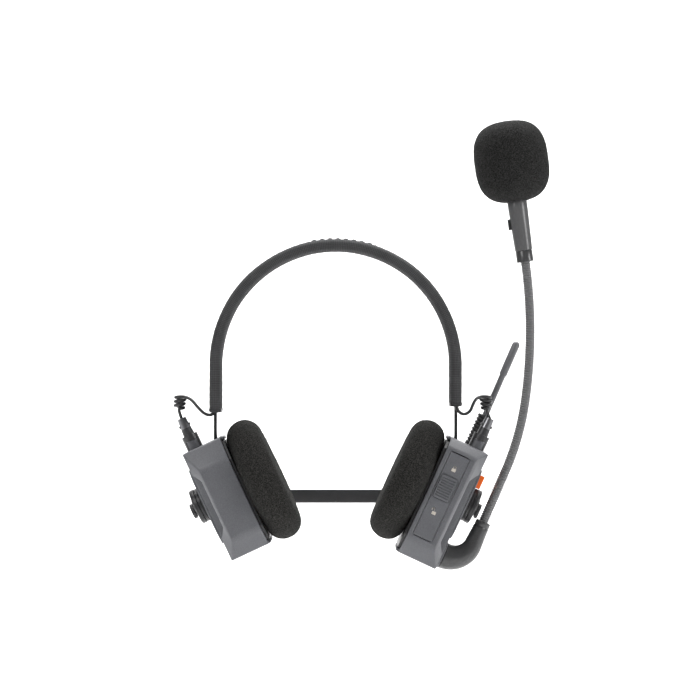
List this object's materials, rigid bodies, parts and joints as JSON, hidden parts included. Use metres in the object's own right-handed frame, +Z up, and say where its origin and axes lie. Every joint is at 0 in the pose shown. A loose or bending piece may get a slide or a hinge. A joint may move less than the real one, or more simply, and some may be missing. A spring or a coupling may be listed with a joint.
{
  "type": "wireless headset microphone",
  "caption": "Two-ear wireless headset: padded arch on sliding strips, tilting ear cups, rear neckband, antenna and a swinging gooseneck boom with a foam windscreen.",
  "frame": {"origin": "underside of the headband at its highest point, where it rests on the crown of the head", "axes": "+Z up, the wearer faces -Y, +X towards the ear cup that carries the boom"},
  "size_m": [0.2072, 0.119, 0.2473],
  "materials": {
    "knit_fabric": "tight knit sleeve",
    "spring_steel": "black coated spring steel",
    "copper_wire": "thin insulated wire",
    "black_plastic": "fine moulded grain",
    "cable_jacket": "satin jacket",
    "screw_steel": "dark plated",
    "grey_plastic": "fine spark texture",
    "ear_foam": "open cell foam",
    "speaker_frame": "moulded frame",
    "board_green": "solder mask",
    "soft_rubber": "satin rubber",
    "battery_wrap": "plain wrap",
    "switch_body": "moulded",
    "orange_plastic": "satin",
    "mic_plastic": "satin moulded",
    "capsule_metal": "perforated grille",
    "screen_foam": "open cell foam"
  },
  "bodies": {
    "headband": {"headband_pad": "knit_fabric", "headband_spring": "spring_steel", "headband_wire": "copper_wire", "end_cap_left": "black_plastic", "end_cap_right": "black_plastic", "strip_guide_left": "black_plastic", "strip_guide_right": "black_plastic", "cable_lead_left": "cable_jacket", "cable_lead_right": "cable_jacket"},
    "yoke": {"spring_strip_left": "spring_steel", "spring_strip_right": "spring_steel", "pivot_pin_left": "screw_steel", "pivot_pin_right": "screw_steel", "neckband": "black_plastic"},
    "cup_left": {"housing_left": "grey_plastic", "baffle_left": "black_plastic", "baffle_screws_left": "screw_steel", "ear_pad_left": "ear_foam", "speaker_left": "speaker_frame", "circuit_board_left": "board_green", "outer_plate_left": "black_plastic", "hub_flange_left": "black_plastic", "neck_arm_left": "black_plastic", "hub_disc_left": "black_plastic", "hub_screw_left": "screw_steel", "jack_socket_left": "grey_plastic", "plug_left": "soft_rubber", "cable_coil_left": "cable_jacket"},
    "cup_right": {"housing_right": "grey_plastic", "baffle_right": "black_plastic", "baffle_screws_right": "screw_steel", "ear_pad_right": "ear_foam", "speaker_right": "speaker_frame", "circuit_board_right": "board_green", "outer_plate_right": "black_plastic", "hub_flange_right": "black_plastic", "neck_arm_right": "black_plastic", "hub_disc_right": "black_plastic", "hub_screw_right": "screw_steel", "jack_socket_right": "grey_plastic", "plug_right": "soft_rubber", "cable_coil_right": "cable_jacket", "battery": "battery_wrap", "door_pin": "screw_steel", "button_switch": "switch_body", "antenna_boot": "soft_rubber", "antenna_rod": "grey_plastic", "boom_bearing": "black_plastic"},
    "door": {"battery_door": "grey_plastic"},
    "latch": {"latch_slider": "grey_plastic"},
    "button": {"call_button": "orange_plastic"},
    "boom": {"boom_elbow": "soft_rubber", "boom_clip": "screw_steel", "gooseneck_lower": "soft_rubber"},
    "microphone": {"gooseneck_upper": "soft_rubber", "mic_collar": "soft_rubber", "mic_holder": "mic_plastic", "mic_capsule": "capsule_metal", "windscreen": "screen_foam"},
    "mute": {"mute_button": "black_plastic"}
  },
  "joints": [
    {"name": "height_adjust", "type": "slide", "parent": "headband", "child": "yoke", "axis": [0, 0, -1], "range_m": [-0.008, 0.015], "deforming": ["cable_lead_left", "cable_lead_right"]},
    {"name": "tilt_left", "type": "hinge", "parent": "yoke", "child": "cup_left", "pos_m": [-0.066, 0, -0.11], "axis": [0, 1, 0], "range_deg": [-5, 25], "deforming": ["cable_coil_left", "neck_arm_left"]},
    {"name": "tilt_right", "type": "hinge", "parent": "yoke", "child": "cup_right", "pos_m": [0.066, 0, -0.11], "axis": [0, -1, 0], "range_deg": [-5, 25], "deforming": ["cable_coil_right", "neck_arm_right"]},
    {"name": "boom_swing", "type": "hinge", "parent": "cup_right", "child": "boom", "pos_m": [0.0592, 0, -0.16688], "axis": [0.9063, 0, -0.4226], "range_deg": [0, 135]},
    {"name": "gooseneck_bend", "type": "hinge", "parent": "boom", "child": "microphone", "pos_m": [0.10427, 0, -0.08184], "axis": [0, 1, 0], "range_deg": [-25, 35]},
    {"name": "mute_press", "type": "slide", "parent": "microphone", "child": "mute", "axis": [0.9905, 0, 0.1374], "range_m": [0, 0.0005], "stiffness_N_per_m": 400},
    {"name": "door_open", "type": "hinge", "parent": "cup_right", "child": "door", "pos_m": [0.04714, -0.026, -0.15464], "axis": [0.9063, 0, -0.4226], "range_deg": [0, 88]},
    {"name": "latch_slide", "type": "slide", "parent": "door", "child": "latch", "axis": [-0.4226, 0, -0.9063], "range_m": [0, 0.004]},
    {"name": "call_press", "type": "slide", "parent": "cup_right", "child": "button", "axis": [-0.9063, 0, 0.4226], "range_m": [0, 0.0008], "stiffness_N_per_m": 500}
  ]
}
